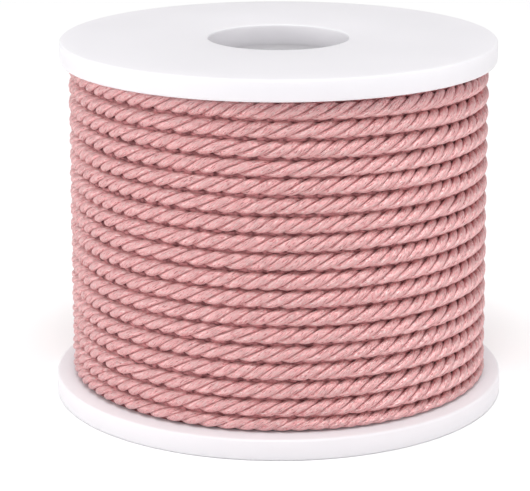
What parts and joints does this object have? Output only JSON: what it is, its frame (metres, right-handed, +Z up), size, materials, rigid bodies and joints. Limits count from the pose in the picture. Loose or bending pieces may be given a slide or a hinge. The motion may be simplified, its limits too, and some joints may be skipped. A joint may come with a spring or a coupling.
{
  "type": "spool of rayon cord",
  "caption": "Plastic spool with round flanges and an open hub bore, wound full with close side-by-side turns of twisted rayon cord.",
  "frame": {"origin": "centre of the spool's base, on the surface that it stands on", "axes": "+Z up along the spool's bore; the side that the picture shows faces -Y, with +X to its right"},
  "size_m": [0.0754, 0.0754, 0.06],
  "materials": {
    "white_plastic": "smooth moulded white plastic with a soft sheen",
    "rose_rayon": "lustrous dusty-rose rayon in three twisted strands"
  },
  "bodies": {
    "root": {"upper_flange": "white_plastic", "lower_flange": "white_plastic", "hub_tube": "white_plastic", "wound_cord": "rose_rayon"}
  },
  "joints": []
}
